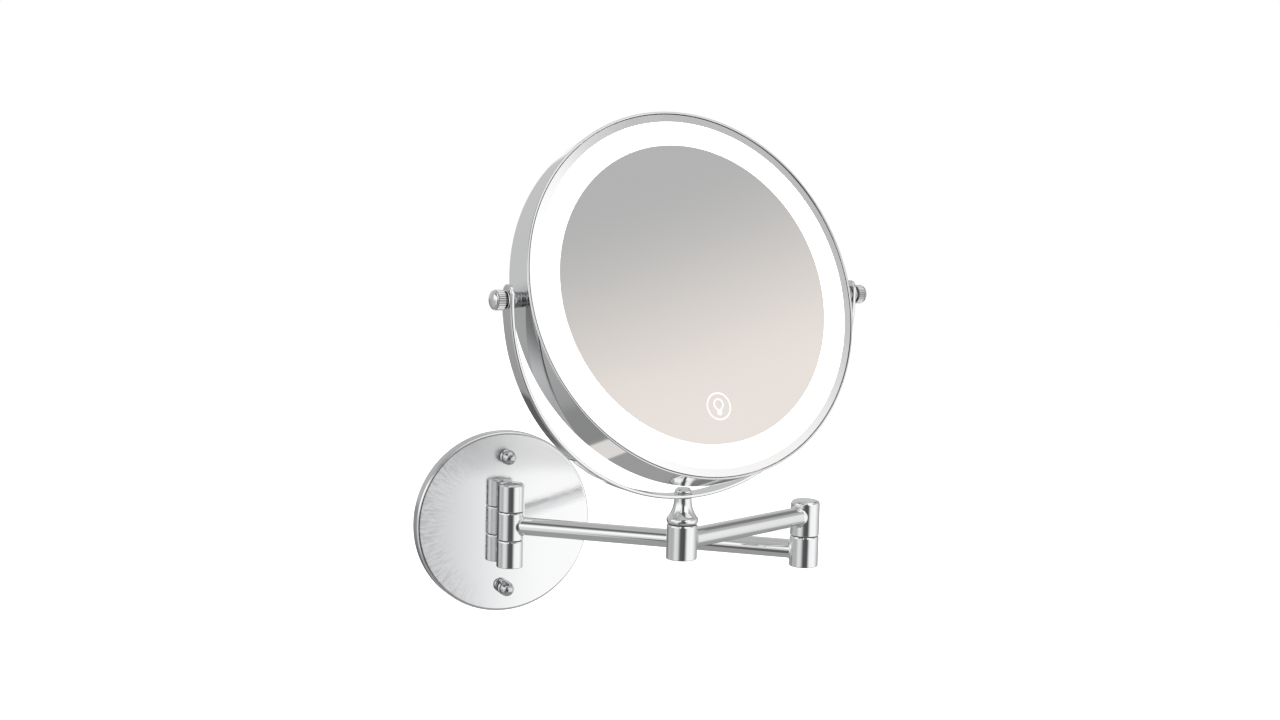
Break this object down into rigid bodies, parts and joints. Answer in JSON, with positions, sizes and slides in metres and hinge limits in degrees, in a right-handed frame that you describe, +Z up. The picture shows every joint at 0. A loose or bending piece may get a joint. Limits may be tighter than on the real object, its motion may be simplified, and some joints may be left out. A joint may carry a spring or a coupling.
{
  "type": "extendable shaving mirror",
  "caption": "Round lit double-sided mirror in a tilting yoke, carried by a two-section folding swing arm on a round wall plate.",
  "frame": {"origin": "centre of the wall plate's back, on the mounting bar's back face", "axes": "+Z up, +Y into the wall, so the mirror hangs in front of the wall towards -Y"},
  "size_m": [0.2354, 0.2261, 0.3102],
  "materials": {
    "chrome": "polished chrome plate",
    "satin_steel": "satin, fine brushed lines",
    "plated_steel": "zinc plated",
    "brass": "plain",
    "nylon": "plain",
    "mirror_glass": "silvered glass",
    "lit_acrylic": "lit white diffuser",
    "white_plastic": "moulded",
    "board_white": "white solder mask",
    "board_green": "green solder mask",
    "black_plastic": "moulded",
    "cell_jacket": "plain shrink sleeve",
    "wire_red": "insulation"
  },
  "bodies": {
    "wall": {"wall_cover": "satin_steel", "mounting_bar": "plated_steel", "stud_upper": "plated_steel", "stud_lower": "plated_steel", "cap_nut_upper": "chrome", "cap_nut_lower": "chrome", "knuckle_top": "chrome", "knuckle_bottom": "chrome", "knuckle_screw_upper": "plated_steel", "knuckle_screw_lower": "plated_steel", "knuckle_pin": "plated_steel", "knuckle_washer_upper": "nylon", "knuckle_washer_lower": "nylon"},
    "arm1": {"arm1_hub": "chrome", "arm1_tube": "chrome", "arm1_root_plug": "plated_steel", "arm1_tip_plug": "plated_steel", "arm1_end_barrel": "chrome", "elbow_pin": "plated_steel"},
    "arm2": {"arm2_elbow_barrel": "chrome", "elbow_washer": "nylon", "arm2_tube": "chrome", "arm2_root_plug": "plated_steel", "arm2_tip_plug": "plated_steel", "arm2_socket": "chrome"},
    "yoke": {"stem_neck": "chrome", "yoke_strip": "chrome", "yoke_washer": "chrome", "yoke_nut": "chrome", "stem_washer": "nylon", "stem_spindle": "plated_steel", "stem_retainer": "chrome"},
    "head": {"casing_ring": "chrome", "front_bezel": "chrome", "light_diffuser": "lit_acrylic", "front_mirror_glass": "mirror_glass", "rear_bezel": "chrome", "rear_mirror_glass": "mirror_glass", "chassis_tray": "white_plastic", "led_board": "board_white", "battery_holder": "black_plastic", "battery_1": "cell_jacket", "battery_2": "cell_jacket", "battery_3": "cell_jacket", "battery_contact_left": "brass", "battery_contact_right": "brass", "control_board": "board_green", "touch_sensor_pad": "brass", "battery_lead": "wire_red", "led_lead": "wire_red", "pivot_boss_right": "plated_steel", "pivot_boss_left": "plated_steel", "pivot_bush_right": "chrome", "pivot_bush_left": "chrome", "pivot_washer_right": "chrome", "pivot_washer_left": "chrome"},
    "knob_left": {"pivot_knob_left": "chrome"},
    "knob_right": {"pivot_knob_right": "chrome"}
  },
  "joints": [
    {"name": "wall_swing", "type": "hinge", "parent": "wall", "child": "arm1", "pos_m": [0, -0.0196, 0], "axis": [0, 0, 1], "range_deg": [-140.1, 39.9]},
    {"name": "elbow_swing", "type": "hinge", "parent": "arm1", "child": "arm2", "pos_m": [0.14193, -0.13827, 0.0208], "axis": [0, 0, 1], "continuous": true},
    {"name": "stem_swivel", "type": "hinge", "parent": "arm2", "child": "yoke", "pos_m": [0.0409, -0.18178, 0.0208], "axis": [0, 0, 1], "continuous": true},
    {"name": "head_tilt", "type": "hinge", "parent": "yoke", "child": "head", "pos_m": [0.0409, -0.18178, 0.154], "axis": [0.9925, 0.1219, 0], "continuous": true},
    {"name": "knob_left_turn", "type": "hinge", "parent": "head", "child": "knob_left", "pos_m": [-0.07225, -0.19567, 0.154], "axis": [-0.9925, -0.1219, 0], "range_deg": [0, 180]},
    {"name": "knob_right_turn", "type": "hinge", "parent": "head", "child": "knob_right", "pos_m": [0.15405, -0.16789, 0.154], "axis": [0.9925, 0.1219, 0], "range_deg": [0, 180]}
  ]
}
